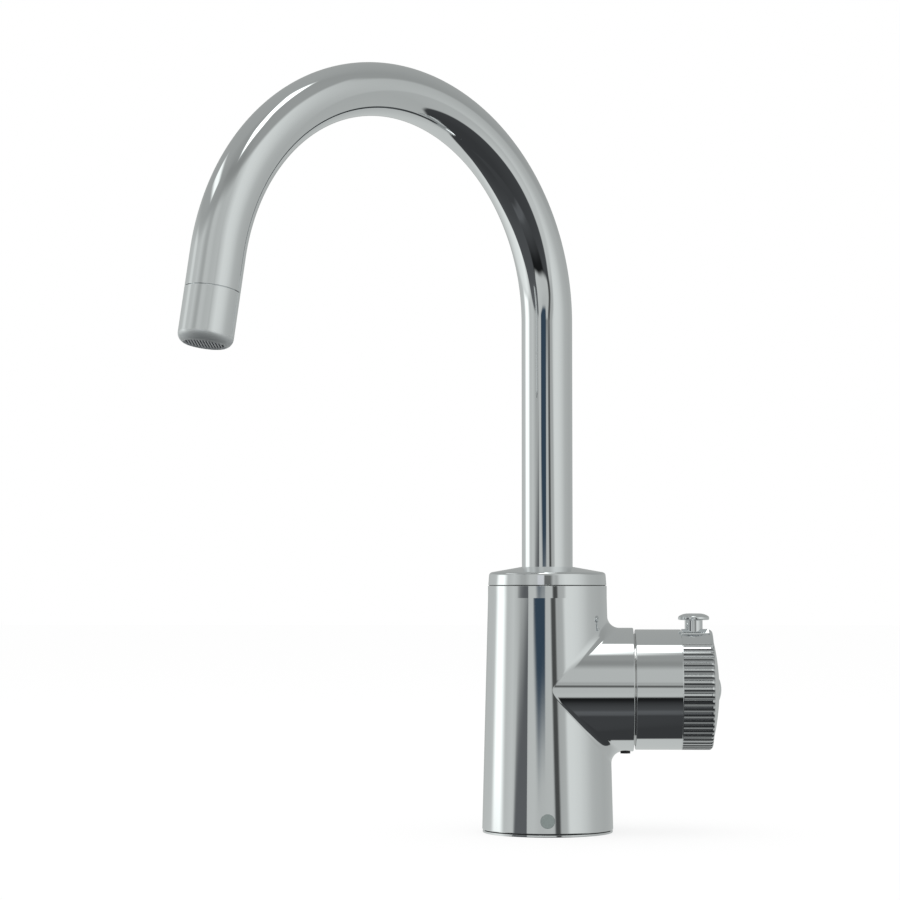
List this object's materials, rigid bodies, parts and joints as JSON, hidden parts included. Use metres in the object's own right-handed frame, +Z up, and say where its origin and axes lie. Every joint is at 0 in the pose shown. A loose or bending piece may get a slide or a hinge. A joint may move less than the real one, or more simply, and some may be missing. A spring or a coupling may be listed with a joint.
{
  "type": "boiling water tap",
  "caption": "Chrome boiling water tap: pillar body, swivelling swan-neck spout, side knob with a spring lock button, indicator lens and base seal.",
  "frame": {"origin": "centre of the round base, on the worktop face", "axes": "+Z up along the pillar, +X along the knob's axis away from the pillar, -Y to the front with the indicator lens"},
  "size_m": [0.2187, 0.1696, 0.3223],
  "materials": {
    "chrome": "polished",
    "brass": "machined",
    "rubber": "matt",
    "plastic": "matt",
    "white_plastic": "matt",
    "ceramic": "polished ceramic",
    "copper": "drawn copper",
    "steel": "bright",
    "lens": "satin",
    "led": "clear",
    "slats": "satin"
  },
  "bodies": {
    "body": {"body_shell": "chrome", "base_ring": "chrome", "base_gasket": "rubber", "base_insert": "brass", "worktop_seal": "rubber", "boiling_feed_pipe": "copper", "filtered_feed_pipe": "copper", "outlet_pipe": "copper", "indicator_lens": "lens", "indicator_led": "led", "grub_screw": "plastic", "valve_carrier": "brass", "cartridge_base": "white_plastic", "cartridge_housing": "plastic", "fixed_disc": "ceramic", "port_seals": "rubber", "cartridge_nut": "brass", "stop_sleeve": "steel", "spout_socket": "brass", "swivel_bush": "white_plastic", "retaining_cap": "chrome"},
    "knob": {"moving_disc": "ceramic", "spindle": "brass", "spindle_o_rings": "rubber", "knob_hub": "plastic", "knob_sleeve": "chrome", "grip_ring": "chrome", "button_guide": "chrome", "end_cap": "chrome", "centre_cap": "chrome", "handle_screw": "steel"},
    "lock": {"lock_button": "chrome", "lock_pin": "steel", "lock_spring": "steel"},
    "spout": {"spout_tube": "chrome", "spout_foot": "brass", "foot_o_rings": "rubber", "inner_spout_tube": "steel", "tube_spacers": "white_plastic", "nozzle_sleeve": "chrome", "flow_straightener": "slats", "nozzle_seal": "rubber"}
  },
  "joints": [
    {"name": "spout_swivel", "type": "hinge", "parent": "body", "child": "spout", "pos_m": [0, 0, 0.1], "axis": [0, 0, 1], "continuous": true},
    {"name": "knob_turn", "type": "hinge", "parent": "body", "child": "knob", "pos_m": [0, 0, 0.06135], "axis": [1, 0, 0], "range_deg": [-90, 90]},
    {"name": "button_press", "type": "slide", "parent": "knob", "child": "lock", "axis": [0, 0, -1], "range_m": [0, 0.003], "stiffness_N_per_m": 800, "springref_m": -0.003, "deforming": ["lock_spring"]}
  ]
}
